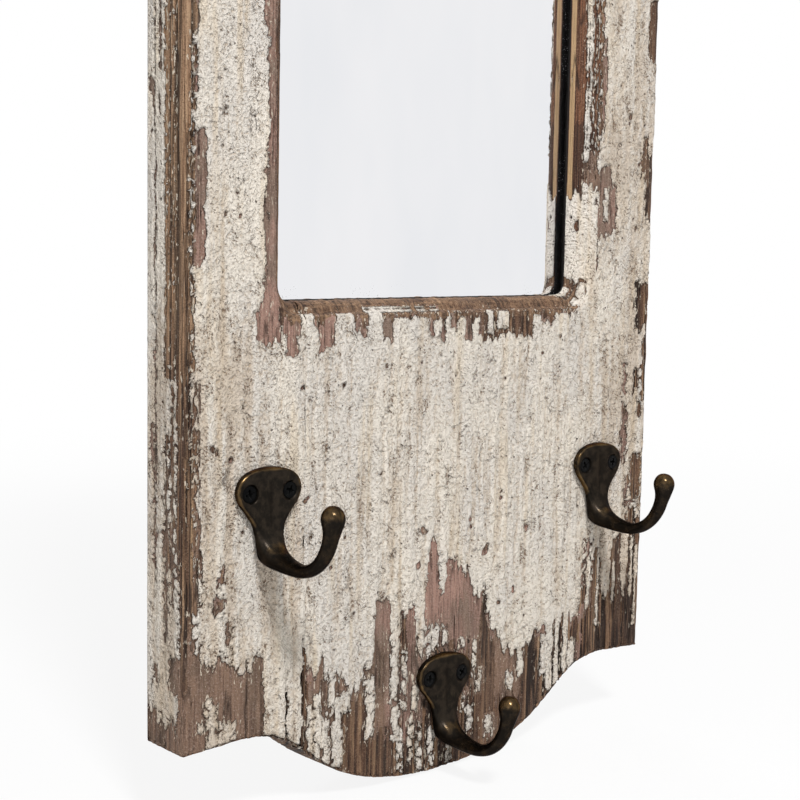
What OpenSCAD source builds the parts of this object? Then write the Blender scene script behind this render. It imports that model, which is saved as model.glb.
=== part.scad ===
// Wall mirror with three coat hooks, made from old painted boards.
// Origin: middle of the board's back face, level with its two bottom corners.
// X runs to the right as seen from the front, Y runs into the wall, Z is up.
// Most pieces are drawn on a bench: x to the right, y up the board and z out of the painted face.

/* [Board] */
// Width of the board over its two straight edges
board_w = 235; // [225:1:300]
// Thickness of the board
board_t = 23.5; // [22:0.5:30]
// How far the curved belly hangs below the bottom corners
belly_drop = 29.6; // [15:0.1:45]
// How far the curved crest stands above the top corners
crest_rise = 29.6; // [15:0.1:45]
// Distance from the middle line to the steepest point of the curve
swoop_x = 63; // [50:1:75]
// Distance from the middle line to the end of the curve
shoulder_x = 93; // [85:1:105]
// How far the cut bows back at the end of the curve
shoulder_bow = 1.3; // [0:0.1:3]

/* [Opening] */
// Width of the opening at its lip
sight_w = 148.6; // [130:0.1:160]
// Height of the opening at its lip
sight_h = 360; // [300:1:380]
// Height of the lip's bottom edge above the bottom corners
sight_z = 153.5; // [145:0.5:175]
// Height from the lip's top edge to the top corners
top_band = 86.5; // [76:0.5:120]
// How far the outer planks reach in past the lip, to their glue joints
joint_in = 6.8; // [4:0.1:12]
// Radius of the opening's corners
corner_r = 5; // [2:0.5:10]
// Depth of the wood in front of the glass rebate
lip_d = 12; // [11:0.5:13]
// Width of the moulded edge round the opening
edge_w = 7.5; // [5:0.5:9]
// Depth of the moulded edge
edge_d = 9; // [7:0.5:10]
// Width of the moulding's outer round
edge_step_w = 3.3; // [2:0.1:4]
// Depth of the moulding's outer round
edge_step_d = 3; // [2:0.1:4]
// Height of the small step between the two rounds
edge_fillet = 0.8; // [0.4:0.1:1.2]

/* [Mirror and back] */
// Thickness of the mirror glass
glass_t = 3; // [2:0.5:4]
// Thickness of the glazing tape between lip and glass
tape_t = 1.7; // [1:0.1:2.5]
// How far the glazing tape is set back from the lip
tape_set = 3; // [2:0.5:4]
// Width of the glass rebate behind the lip
glass_rebate = 8; // [7:0.5:10]
// Width of the backing rebate behind the lip
back_rebate = 16; // [15:0.5:18]
// Gap round the glass in its rebate
glass_gap = 1; // [0.5:0.1:1.5]
// Gap round the backing board in its rebate
backing_gap = 0.5; // [0.3:0.1:1]
// Thickness of the backing board
backing_t = 3; // [2:0.5:4]
// Length of a backing screw under its head
backing_screw_l = 10; // [8:0.5:12]
// Diameter of a backing screw's shank
backing_screw_d = 3; // [2.5:0.1:3.5]
// Distance from the lip out to the backing screws
backing_screw_out = 12; // [11:0.5:12]

/* [Dowels] */
// Diameter of a dowel
dowel_d = 8; // [6:0.5:10]
// Length of a dowel
dowel_l = 36; // [28:1:36]

/* [Hooks] */
// Distance from the board's left edge to the middle of the left hook
left_hook_in = 33.1; // [24:0.1:36]
// Distance from the board's right edge to the middle of the right hook
right_hook_in = 32.9; // [24:0.1:36]
// Height of the left hook's screws
left_hook_z = 88.3; // [70:0.5:90]
// Height of the right hook's screws
right_hook_z = 83.6; // [70:0.5:90]
// Height of the centre hook's screws
centre_hook_z = 8.4; // [2:0.5:30]
// Width of a hook's plate
plate_w = 27.2; // [26:0.2:32]
// Height of a hook's plate above its screws
plate_top = 8.6; // [8:0.1:12]
// Thickness of a hook's plate
plate_t = 3.6; // [3.2:0.1:5]
// Width of a hook's neck
neck_w = 10.8; // [9:0.1:14]
// Distance from the screws down to the narrow neck
neck_drop = 16; // [14:0.5:18]
// Distance between a hook's two screws
hook_screw_gap = 17; // [16:0.2:17.6]
// Distance from the screws down to the prong's underside
prong_drop = 26.8; // [25:0.1:32]
// Distance from the board out to the middle of the ball
prong_reach = 37.4; // [34:0.2:45]
// Width of the prong at its thinnest
prong_w = 5.4; // [4.5:0.1:6.5]
// Diameter of the ball at the prong's tip
ball_d = 8.4; // [7:0.1:10]
// Distance from the screws down to the middle of the ball
ball_drop = 4; // [3:0.1:6]

/* [Hook screws] */
// Diameter of a hook screw's head
hook_head_d = 6.9; // [6.5:0.1:7.2]
// Angle of the countersunk head
sink_angle = 82; // [80:1:90]
// How far the head sits below the plate's face
head_set = 0.35; // [0.2:0.05:0.5]
// Diameter of a hook screw's shank
hook_shank_d = 3.5; // [3:0.1:3.8]
// Length of a hook screw
hook_screw_l = 19; // [14:0.5:20]
// Clearance between a shank and its hole in metal
shank_clear = 0.3; // [0.2:0.05:0.5]

/* [Hangers] */
// Height of the ring's pivot above the backing rebate
hanger_up = 38.5; // [36:0.5:42]
// Width of a hanger strap
strap_w = 12; // [10:0.5:14]
// Thickness of a hanger strap
strap_t = 1.2; // [1:0.1:1.6]
// Length of a strap below its pivot
strap_l = 28; // [26:1:32]
// Distance from the pivot down to the strap's screw
strap_screw_drop = 20.5; // [20:0.5:22]
// Diameter of the ring's wire
wire_d = 2.4; // [2:0.1:2.8]
// Inner width of the ring
ring_w = 16; // [15.4:0.2:16.4]
// Length of the ring's straight sides
ring_side = 4; // [3:0.1:4.2]
// Bend radius of the ring's corners, to the middle of the wire
ring_bend = 2.4; // [2:0.1:2.6]
// Running clearance round the wire in the strap's eye
eye_clear = 0.05; // [0.03:0.01:0.08]
// Gap between the hanging ring and its strap
ring_rest_gap = 0.3; // [0.2:0.05:0.5]
// Diameter of a hanger screw's shank
hanger_shank_d = 3.5; // [3:0.1:3.8]
// Length of a hanger screw under its head
hanger_screw_l = 15; // [12:0.5:16]

/* [Bumpers] */
// Diameter of a wall bumper
bumper_d = 10; // [8:0.5:14]
// Thickness of a wall bumper
bumper_t = 4.5; // [4.5:0.1:6]
// Distance from the board's edge to the middle of a bumper
bumper_in = 16; // [12:1:20]
// Height of the lower bumpers above the bottom corners
bumper_z = 20; // [15:1:30]

/* [Hidden] */
$fn = 48;
cut = 1;
half_w = board_w / 2;
sight_x = sight_w / 2;
sight_top = sight_z + sight_h;
side_h = sight_top + top_band;
stile_x = sight_x - joint_in;
hanger_x = (stile_x + half_w) / 2;
low_joint = sight_z - back_rebate;
high_joint = side_h - sight_top - back_rebate;
low_dowels = [0.18 * low_joint, 0.79 * low_joint];
high_dowels = [side_h - 0.86 * high_joint, side_h - 0.2 * high_joint];
fit_gap = 0.05;
glass_d = lip_d + tape_t;
backing_d = glass_d + glass_t;
curve_steps = 7;
edge_steps = 6;
corner_steps = 6;
section_sides = 20;
section_steps = 2;
hook_places = [
    [left_hook_in - half_w, left_hook_z], [0, centre_hook_z], [half_w - right_hook_in, right_hook_z]];
sink_h = hook_head_d / 2 / tan(sink_angle / 2);
head_h = ((hook_head_d - hook_shank_d) / 2 - fit_gap) / tan(sink_angle / 2);
eye_r = wire_d / 2 + eye_clear;
eye_wall = 0.9;
pivot_out = eye_r + eye_wall;
ring_r = ring_w / 2 + wire_d / 2;
ring_tilt = asin((strap_t + ring_rest_gap + wire_d / 2 - pivot_out) / (ring_side + ring_r));
pivot_z = sight_top + back_rebate + hanger_up;
pan_head_d = 6.4;
pan_head_h = 2;
pan_head_round = 0.9;
drive_w = 0.9;
drive_l = 3.6;
drive_d = 1.1;

// Point at share t of a curve with two end points and two handles
function bend(a, b, c, d, t) =
    pow(1 - t, 3) * a + 3 * pow(1 - t, 2) * t * b + 3 * (1 - t) * t * t * c + pow(t, 3) * d;

// Right half of the curved end: from the middle line out to the corner, as [x, how far out]
function end_curve(reach) = let (
        steep = [swoop_x, reach * 0.37],
        handle = [swoop_x * 0.13, -reach * 0.22])
    concat(
        [for (i = [0 : curve_steps])
            bend([0, reach], [swoop_x * 0.45, reach], steep - 2 * handle, steep, i / curve_steps)],
        [for (i = [1 : curve_steps])
            bend(steep, steep + handle, [(swoop_x + shoulder_x) / 2, -shoulder_bow],
                [shoulder_x, -shoulder_bow], i / curve_steps)],
        [[half_w, 0]]);

function flipped(points) = [for (i = [len(points) - 1 : -1 : 0]) points[i]];

// Outline of the whole board, seen from the front
function board_outline() = let (low = end_curve(belly_drop), high = end_curve(crest_rise))
    concat(
        [for (p = flipped(low)) [-p[0], -p[1]]],
        [for (i = [1 : len(low) - 1]) [low[i][0], -low[i][1]]],
        [for (p = flipped(high)) [p[0], side_h + p[1]]],
        [for (i = [1 : len(high) - 1]) [-high[i][0], side_h + high[i][1]]]);

// Profile of the moulded edge: x out from the lip, y down from the painted face
function edge_profile(inside) = concat(
    [[inside, cut], [edge_w, cut]],
    [for (i = [0 : edge_steps]) let (a = 90 * i / edge_steps)
        [edge_w - edge_step_w * sin(a), -edge_step_d * (1 - cos(a))]],
    [for (i = [0 : edge_steps]) let (
            a = 90 * i / edge_steps,
            top = edge_step_d + edge_fillet,
            run = edge_w - edge_step_w)
        [run * (1 - sin(a)), -top - (edge_d - top) * (1 - cos(a))]],
    [[inside, -edge_d]]);

// Puts bench drawing in place on the painted face
module on_face() translate([0, -board_t, 0]) rotate([90, 0, 0]) children();

// Puts bench drawing in place on the back face, with z out towards the wall
module on_back() rotate([90, 0, 0]) mirror([0, 0, 1]) children();

// A square hole centred on the opening, from one depth to another
module opening_box(out, top, bottom)
    translate([-sight_x - out, sight_z - out, -bottom])
        cube([sight_w + 2 * out, sight_h + 2 * out, bottom - top]);

// Rounded outline of the opening, a distance out from its lip
function opening_outline(out) = [for (corner = [0 : 3], i = [0 : corner_steps]) let (
        turn = 90 * (corner + i / corner_steps),
        side_x = corner == 0 || corner == 3 ? 1 : -1,
        side_y = corner < 2 ? 1 : -1)
    [side_x * (sight_x - corner_r) + (corner_r + out) * cos(turn),
        sight_z + sight_h / 2 + side_y * (sight_h / 2 - corner_r) + (corner_r + out) * sin(turn)]];

// The opening's rounded lip, cut right through
module lip_cut()
    translate([0, 0, -board_t - cut])
        linear_extrude(board_t + 2 * cut)
            polygon(opening_outline(0));

// The moulding's profile, carried once round the opening
module edge_cut() {
    loops = [for (p = edge_profile(-corner_r / 2)) [for (q = opening_outline(p[0])) [q[0], q[1], p[1]]]];
    n = len(loops[0]);
    m = len(loops);
    polyhedron(
        [for (loop = loops) each loop],
        [for (i = [0 : m - 1], k = [0 : n - 1]) let (
                a = i * n + k, b = i * n + (k + 1) % n,
                c = (i + 1) % m * n + k, d = (i + 1) % m * n + (k + 1) % n)
            each [[a, b, d], [a, d, c]]]);
}

// Everything that is cut out of the boards round the mirror
module mirror_cut() {
    lip_cut();
    edge_cut();
    opening_box(glass_rebate, lip_d, board_t + cut);
    opening_box(back_rebate, backing_d, board_t + cut);
}

// A round bar from one place along the bench's x
module bar_x(radius, x0, x1, y, z)
    translate([x0, y, z]) rotate([0, 90, 0]) cylinder(r = radius, h = x1 - x0);

// The dowels at two heights, with their bores a little larger and longer
module dowel_set(heights, grow = 0)
    for (side = [-1, 1], y = heights)
        bar_x(dowel_d / 2 + grow, side * stile_x - dowel_l / 2 - grow,
            side * stile_x + dowel_l / 2 + grow, y, -board_t / 2);

// Places of the backing screws as [x, y]
function backing_places() = let (x = sight_x + backing_screw_out)
    concat(
        [for (side = [-1, 1], share = [0.13, 0.5, 0.87]) [side * x, sight_z + share * sight_h]],
        [for (side = [-1, 1], y = [sight_z - backing_screw_out, sight_top + backing_screw_out])
            [side * sight_w * 0.27, y]]);

// A straight pilot hole with a pointed end, going down from z = 0
module pilot(shank_d, depth) {
    r = shank_d / 2 + fit_gap;
    rotate_extrude() polygon([[0, cut], [r, cut], [r, -depth], [0, -depth - shank_d / 2]]);
}

// All holes for dowels and screws, as drilled into the boards
module drilling() {
    dowel_set(low_dowels, fit_gap);
    dowel_set(high_dowels, fit_gap);
    for (place = hook_places, side = [-1, 1])
        translate([place[0] + side * hook_screw_gap / 2, place[1], 0])
            pilot(hook_shank_d, hook_screw_l - plate_t + fit_gap);
    for (place = backing_places())
        translate([place[0], place[1], -backing_d])
            mirror([0, 0, 1]) pilot(backing_screw_d, backing_screw_l - backing_t + fit_gap);
    for (side = [-1, 1])
        translate([side * hanger_x, pivot_z - strap_screw_drop, -board_t])
            mirror([0, 0, 1]) pilot(hanger_shank_d, hanger_screw_l - strap_t + fit_gap);
}

// One plank of the board, between two x and two heights
module plank(x0, x1, y0, y1)
    on_face()
        difference() {
            intersection() {
                translate([0, 0, -board_t]) linear_extrude(board_t) polygon(board_outline());
                translate([x0, y0, -board_t - cut]) cube([x1 - x0, y1 - y0, board_t + 2 * cut]);
            }
            mirror_cut();
            drilling();
        }

full_low = -belly_drop - cut;
full_high = side_h + crest_rise + cut;
rail_split = sight_z + sight_h / 2;

module left_stile() color("#cfc6b4") plank(-half_w - cut, -stile_x, full_low, full_high);

module right_stile() color("#c9bfac") plank(stile_x, half_w + cut, full_low, full_high);

module top_rail() color("#d4ccbc") plank(-stile_x, stile_x, rail_split, full_high);

module bottom_rail() color("#d2c9b8") plank(-stile_x, stile_x, full_low, rail_split);

module upper_dowels() color("#c9a676") on_face() dowel_set(high_dowels);

module lower_dowels() color("#c9a676") on_face() dowel_set(low_dowels);

module mirror_glass()
    color("#e6e9ec") on_face() opening_box(glass_rebate - glass_gap, glass_d, backing_d);

// Four strips of tape that meet at square ends behind the lip
module glazing_tape() {
    out = glass_rebate - glass_gap;
    strip_w = out - tape_set;
    color("#2a2a2a")
        on_face()
            for (side = [-1, 1]) {
                translate([side * (sight_x + tape_set + strip_w / 2), sight_z + sight_h / 2,
                    -lip_d - tape_t / 2])
                    cube([strip_w, sight_h + 2 * out, tape_t], center = true);
                translate([0, sight_z + sight_h / 2 + side * (sight_h / 2 + tape_set + strip_w / 2),
                    -lip_d - tape_t / 2])
                    cube([sight_w + 2 * tape_set, strip_w, tape_t], center = true);
            }
}

module backing_board()
    color("#8a6a48")
        on_face()
            difference() {
                opening_box(back_rebate - backing_gap, backing_d, backing_d + backing_t);
                for (place = backing_places())
                    translate([place[0], place[1], -backing_d - backing_t - cut])
                        cylinder(d = backing_screw_d + 2 * shank_clear, h = backing_t + 2 * cut);
            }

// A cross-shaped driver recess cut down from z = 0
module drive_cut()
    for (turn = [0, 90])
        rotate(turn)
            translate([-drive_l / 2, -drive_w / 2, -drive_d])
                cube([drive_l, drive_w, drive_d + cut]);

// A round-headed screw with its shank going down from z = 0
module pan_screw(shank_d, length)
    difference() {
        rotate_extrude()
            polygon([
                [0, pan_head_h], [pan_head_d / 2 - pan_head_round, pan_head_h],
                [pan_head_d / 2, pan_head_h - pan_head_round], [pan_head_d / 2, 0],
                [shank_d / 2, 0], [shank_d / 2, -length], [0, -length - shank_d / 2]]);
        translate([0, 0, pan_head_h]) drive_cut();
    }

module backing_screws()
    color("#a9abad")
        on_face()
            for (place = backing_places())
                translate([place[0], place[1], -backing_d - backing_t])
                    mirror([0, 0, 1]) pan_screw(backing_screw_d, backing_screw_l);

// Half width of a hook's plate and neck at a height y above its screws
function plate_half(y) =
    y > 0 ? plate_w / 2 * pow(1 - pow(y / plate_top, 2.4), 1 / 2.4)
    : (neck_w + (plate_w - neck_w) * (0.5 + 0.5 * cos(180 * y / neck_drop))) / 2;

// Stations down a hook: [out and height at the wall side, the same at the open side,
// half width, squareness of the open side, squareness of the wall side]
function plate_stations() = concat(
    [for (angle = [86, 70, 48, 26]) let (y = plate_top * sin(angle))
        [0, y, plate_t * (1 - 0.4 * pow(y / plate_top, 8)), y, plate_half(y), 4.4, 12]],
    [for (share = [0, 0.24, 0.47, 0.69, 0.9]) let (y = -neck_drop * share)
        [0, y, plate_t + neck_drop * 0.06 * pow(share, 4), y + neck_drop * 0.05 * pow(share, 4),
            plate_half(y), 4.6 - 1.8 * share, 12 - 6 * share]]);

// The prong, as shares of its reach and of its drop, with width and squareness
prong_shape = [
    [0, 0.70, 0.160, 0.62, 1.00, 2.6, 5], [0, 0.87, 0.225, 0.70, 0.96, 2.4, 3],
    [0.085, 0.955, 0.305, 0.757, 0.87, 2.2, 2.2], [0.241, 0.98, 0.396, 0.80, 0.76, 2, 2],
    [0.406, 1.00, 0.503, 0.821, 0.67, 2, 2], [0.583, 0.992, 0.604, 0.817, 0.59, 2, 2],
    [0.749, 0.922, 0.711, 0.761, 0.54, 2, 2], [0.888, 0.784, 0.799, 0.66, 0.50, 2, 2],
    [0.987, 0.604, 0.864, 0.522, 0.50, 2, 2], [1.040, 0.429, 0.898, 0.396, 0.51, 2, 2]];

function prong_stations() = [for (s = prong_shape)
    [s[0] * prong_reach, -s[1] * prong_drop, s[2] * prong_reach, -s[3] * prong_drop,
        s[4] * (s[4] > 0.6 ? neck_w : prong_w * 2) / 2, s[5], s[6]]];

function ball_stations() = [for (angle = [-38, -8, 22, 50, 72, 87]) let (
        r = ball_d / 2 * cos(angle),
        y = -ball_drop + ball_d / 2 * sin(angle))
    [prong_reach + r, y, prong_reach - r, y, r, 2, 2]];

// A smooth run of stations between the ones given
function smooth(list) = let (last = len(list) - 1) concat(
    [for (i = [0 : last - 1], k = [0 : section_steps - 1]) let (
            t = k / section_steps,
            a = list[max(i - 1, 0)], b = list[i], c = list[i + 1], d = list[min(i + 2, last)])
        (2 * b + (c - a) * t + (2 * a - 5 * b + 4 * c - d) * t * t
            + (3 * b - a - 3 * c + d) * pow(t, 3)) / 2],
    [list[last]]);

// Signed power that keeps the sign of its base
function keep_sign(v, power) = sign(v) * pow(abs(v), power);

// The points round one station, none of them behind the painted face
function section(s) = [for (k = [0 : section_sides - 1]) let (
        turn = 360 * k / section_sides,
        power = 2 / (sin(turn) >= 0 ? s[5] : s[6]),
        across = keep_sign(cos(turn), power),
        along = keep_sign(sin(turn), power),
        wall_side = max(0, s[0]))
    [s[4] * across, (s[1] + s[3] + (s[3] - s[1]) * along) / 2,
        (wall_side + s[2] + (s[2] - wall_side) * along) / 2]];

// A cast hook without its holes, with its screws' line at the origin
module hook_casting() {
    rings = [for (s = smooth(concat(plate_stations(), prong_stations(), ball_stations()))) section(s)];
    n = section_sides;
    last = len(rings) - 1;
    skin = [for (i = [0 : last - 1], k = [0 : n - 1]) let (a = i * n + k, b = i * n + (k + 1) % n)
        each [[a, b + n, b], [a, a + n, b + n]]];
    tip = [for (k = [0 : n - 1]) k];
    end = [for (k = [n - 1 : -1 : 0]) last * n + k];
    polyhedron([for (ring = rings) each ring], concat(skin, [tip, end]));
}

// One hook in place, with two countersunk holes through its plate
module hook(place)
    on_face()
        translate([place[0], place[1], 0])
            difference() {
                hook_casting();
                for (side = [-1, 1])
                    translate([side * hook_screw_gap / 2, 0, 0]) {
                        translate([0, 0, -cut])
                            cylinder(d = hook_shank_d + 2 * shank_clear, h = plate_t + 2 * cut);
                        translate([0, 0, plate_t - head_set - sink_h + fit_gap])
                            cylinder(d1 = 0, d2 = hook_head_d, h = sink_h);
                        translate([0, 0, plate_t - head_set + fit_gap])
                            cylinder(d = hook_head_d, h = head_set + cut);
                    }
            }

module left_hook() color("#3b332b") hook(hook_places[0]);

module centre_hook() color("#3b332b") hook(hook_places[1]);

module right_hook() color("#3b332b") hook(hook_places[2]);

// Two countersunk screws in one hook
module hook_screws(place)
    color("#141414")
        on_face()
            for (side = [-1, 1])
                translate([place[0] + side * hook_screw_gap / 2, place[1], plate_t - head_set])
                    difference() {
                        rotate_extrude()
                            polygon([
                                [0, 0], [hook_head_d / 2 - fit_gap, 0],
                                [hook_shank_d / 2, -head_h],
                                [hook_shank_d / 2, -hook_screw_l + head_set],
                                [0, -hook_screw_l + head_set - hook_shank_d / 2 + fit_gap]]);
                        drive_cut();
                    }

module left_hook_screws() hook_screws(hook_places[0]);

module centre_hook_screws() hook_screws(hook_places[1]);

module right_hook_screws() hook_screws(hook_places[2]);

// A flat strap whose top end is rolled into an eye for the ring
module hanger_strap(side)
    color("#b9a36a")
        on_back()
            translate([side * hanger_x, pivot_z, 0])
                difference() {
                    union() {
                        translate([-strap_w / 2, -strap_l + strap_w / 2, 0])
                            cube([strap_w, strap_l - strap_w / 2, strap_t]);
                        translate([0, -strap_l + strap_w / 2, 0]) cylinder(d = strap_w, h = strap_t);
                        bar_x(eye_r + eye_wall, -strap_w / 2, strap_w / 2, 0, pivot_out);
                    }
                    bar_x(eye_r, -strap_w / 2 - cut, strap_w / 2 + cut, 0, pivot_out);
                    translate([0, -strap_screw_drop, -cut])
                        cylinder(d = hanger_shank_d + 2 * shank_clear, h = strap_t + 2 * cut);
                }

module left_hanger_strap() hanger_strap(-1);

module right_hanger_strap() hanger_strap(1);

// Half of the ring: its bar, bent corner, side and bow, on one side of the middle
module ring_half() {
    bar_x(wire_d / 2, 0, ring_r - ring_bend, 0, 0);
    translate([ring_r - ring_bend, -ring_bend, 0])
        rotate_extrude(angle = 90) translate([ring_bend, 0]) circle(wire_d / 2);
    translate([ring_r, -ring_side, 0]) rotate([-90, 0, 0]) cylinder(d = wire_d, h = ring_side - ring_bend);
    translate([0, -ring_side, 0])
        rotate([0, 0, -90]) rotate_extrude(angle = 90) translate([ring_r, 0]) circle(wire_d / 2);
}

// The D-shaped ring, hanging down over its strap
module hanger_ring(side)
    color("#c4ae74")
        on_back()
            translate([side * hanger_x, pivot_z, pivot_out])
                rotate([-ring_tilt, 0, 0])
                    union() {
                        ring_half();
                        mirror([1, 0, 0]) ring_half();
                    }

module left_hanger_ring() hanger_ring(-1);

module right_hanger_ring() hanger_ring(1);

module hanger_screw(side)
    color("#b9a36a")
        on_back()
            translate([side * hanger_x, pivot_z - strap_screw_drop, strap_t])
                pan_screw(hanger_shank_d, hanger_screw_l);

module left_hanger_screw() hanger_screw(-1);

module right_hanger_screw() hanger_screw(1);

module wall_bumpers()
    color("#6b6258")
        on_back()
            for (side = [-1, 1])
                translate([side * (half_w - bumper_in), bumper_z, 0])
                    cylinder(d = bumper_d, h = bumper_t);

left_stile();
right_stile();
top_rail();
bottom_rail();
upper_dowels();
lower_dowels();
mirror_glass();
glazing_tape();
backing_board();
backing_screws();
left_hook();
centre_hook();
right_hook();
left_hook_screws();
centre_hook_screws();
right_hook_screws();
left_hanger_strap();
right_hanger_strap();
left_hanger_ring();
right_hanger_ring();
left_hanger_screw();
right_hanger_screw();
wall_bumpers();
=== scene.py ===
"""Wall mirror in an old painted board, with three coat hooks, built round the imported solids."""

import math

import bmesh
import bpy
import numpy as np
from mathutils import Matrix, Vector
from numpy import clip, exp, hypot, maximum, minimum, where


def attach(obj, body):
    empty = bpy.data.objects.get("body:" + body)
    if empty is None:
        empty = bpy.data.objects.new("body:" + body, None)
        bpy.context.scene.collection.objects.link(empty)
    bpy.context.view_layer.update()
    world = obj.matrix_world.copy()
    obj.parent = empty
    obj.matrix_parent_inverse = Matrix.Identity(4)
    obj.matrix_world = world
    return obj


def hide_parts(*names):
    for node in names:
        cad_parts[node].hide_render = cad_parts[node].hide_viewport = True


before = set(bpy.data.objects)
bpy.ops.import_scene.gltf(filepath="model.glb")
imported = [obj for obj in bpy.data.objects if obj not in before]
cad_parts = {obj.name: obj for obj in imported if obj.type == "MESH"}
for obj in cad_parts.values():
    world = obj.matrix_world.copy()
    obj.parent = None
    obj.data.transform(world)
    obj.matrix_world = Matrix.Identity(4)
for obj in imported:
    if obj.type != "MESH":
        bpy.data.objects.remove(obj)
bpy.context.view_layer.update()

MM = 0.001

# ------------------------------
# The board: four old planks glued side by side, 23.5 mm thick, with a sawn wavy foot and crest.
# Bare softwood first, a thin pink-grey primer on it, then a thick gritty cream coat that has
# flaked off at the corners, round the opening and along the foot. Places are in mm from the
# board's left edge and above its bottom corners; the side faces unfold to x < 0 and x > 235.
PLANKS = ("left_stile", "right_stile", "top_rail", "bottom_rail")
BOARD_W, BOARD_T, SIDE_H = 235.0, 23.5, 600.0
JOINT_X = 67.5
OPENING = dict(half_w=74.3, half_h=180.0, mid_z=333.5, corner=5.0)
EDGE_W, LIP_D = 7.5, 12.0
BELLY, SWOOP_X, SHOULDER_X, SHOULDER_BOW = 29.6, 63.0, 93.0, 1.3
GRID = 0.6

# The cream coat reaches down to this line, given as x, height
FOOT_LINE = (
    (-24, 9), (-19, 11), (-15, 8), (-9, 9), (-5, 7), (-4, 12), (-2.6, 36), (0, 40), (1.5, 60),
    (2.2, 95), (3, 112), (4, 60), (5, 52), (6.5, 36), (7.5, 33), (12, 29), (17, 31), (22, 27),
    (27, 24), (30, 31), (33, 29), (34, -8), (35, -40), (42.6, -40), (43.2, 20), (43.9, 22),
    (44.6, -40), (49.8, -40), (50.6, 33), (51.8, 21), (56, 19), (60, 22), (61.5, 14), (66, 16),
    (70, 12), (75, 8), (79, 15), (83, 20), (84.2, 38), (87, 43), (91, 41), (92.4, 22), (96, 20),
    (97.4, 34), (104, 36), (105, 20), (108.6, 27), (110, 58), (113, 62), (115.4, 56), (116.2, 40),
    (118.2, 37), (119.4, 51), (122, 53), (126, 50), (131, 45), (135, 38), (140.4, 34), (141.2, 38),
    (142.4, 27), (148, 17), (152, 12), (158, 9), (165, 10), (169, 16), (176, 19), (183, 18),
    (196, 20), (197, 36), (203, 40), (205, 46), (208.5, 52), (209.6, 27), (214.5, 25), (215.8, 48),
    (222.2, 52), (223, 27), (225, 26), (226.4, 52), (231, 56), (236, 58), (239, 30), (245, 22),
    (252, 26), (259, 20),
)
# Places that the cream coat has left, as x from, x to, height from, height to
FLAKED = (
    (-12.4, 3.4, 128, 158), (-10.4, 3.4, 154, 216), (-12.2, 3.4, 212, 262), (-9.6, 3.4, 258, 330),
    (-12.4, 3.4, 327, 420), (-10.4, 3.4, 416, 500), (-12, 3.4, 496, 680), (-17.6, -14.8, 229, 252),
    (-21.6, -19.4, 222, 227), (-19.8, -17.4, 218, 223), (-17.6, -15.2, 214, 220),
    (-3, 1.8, -40, 130), (2, 5.4, 222, 680), (-9.5, -2, 20, 33), (-19, -17, 22, 28),
    (3, 8.4, 166, 209), (0, 2.6, 95, 130), (1, 6.4, 34, 60), (5, 7, 60, 78), (-13.4, -8.6, 66, 75),
    (-5, 0.6, 62, 130), (-18.6, -17.8, 60, 250), (-12, -10.6, 40, 110), (-8.4, -7, 52, 126),
    (12.5, 16, 48, 53), (17.6, 19.2, 35, 43), (14.6, 16.6, 58, 64), (-21.4, -19.4, 96, 112),
    (-20, -15.5, 300, 322), (-19, -15, 470, 500), (33.8, 56, 152, 530), (32.4, 34, 153, 200),
    (32, 34, 244, 300), (31.6, 34, 356, 410), (28.5, 39.6, 139, 149), (31, 39.6, 148, 153),
    (33.4, 39.6, 152, 158), (38, 183.4, 146.6, 170), (42.2, 46.6, 134, 150), (40.6, 49.4, 141, 150),
    (53.4, 58, 144, 150), (56.6, 63, 136.4, 150), (73, 78, 140.6, 150), (86, 90.6, 138.4, 150),
    (108.6, 110.6, 140, 150), (114.4, 116.6, 139, 150), (120, 122.4, 141, 150),
    (126.6, 130.4, 138, 150), (133.6, 164, 138.6, 150), (168, 176, 144, 150), (180, 189, 147, 160),
    (178.4, 191.4, 194, 530), (190.4, 200.4, 213, 272), (199, 203, 221, 258),
    (190.4, 196, 300, 345), (191, 198.6, 198, 211), (196, 203, 196, 203), (200.4, 208, 184, 205),
    (205, 211.4, 180, 198), (198.4, 205, 177, 190), (195.4, 200.6, 165, 186),
    (190.4, 194, 158, 176), (185.4, 189.4, 179, 184.4), (190.6, 193, 440, 505),
    (228.6, 236, 250, 276), (226.8, 230.2, 204, 219), (230, 236, 187, 212), (226, 234.6, 139, 158),
    (231.6, 234, 108, 132), (219.6, 221.4, 113, 124), (226, 229.4, 113, 122), (219.2, 222, 82, 108),
    (226.4, 232, 65, 84), (234.8, 239, 30, 640), (233, 236, 118, 140), (229, 231, 102, 108),
    (224.4, 230, 52, 62), (222.8, 224.4, 63, 76), (229.6, 234, 330, 372), (231, 236, 440, 470),
    (241, 246, 180, 214), (247, 252, 410, 436), (240, 244, 520, 566), (60, 104, 514, 517),
    (118, 176, 513, 518.4), (38, 52, 512, 519), (182, 192, 508, 520),
)
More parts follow.
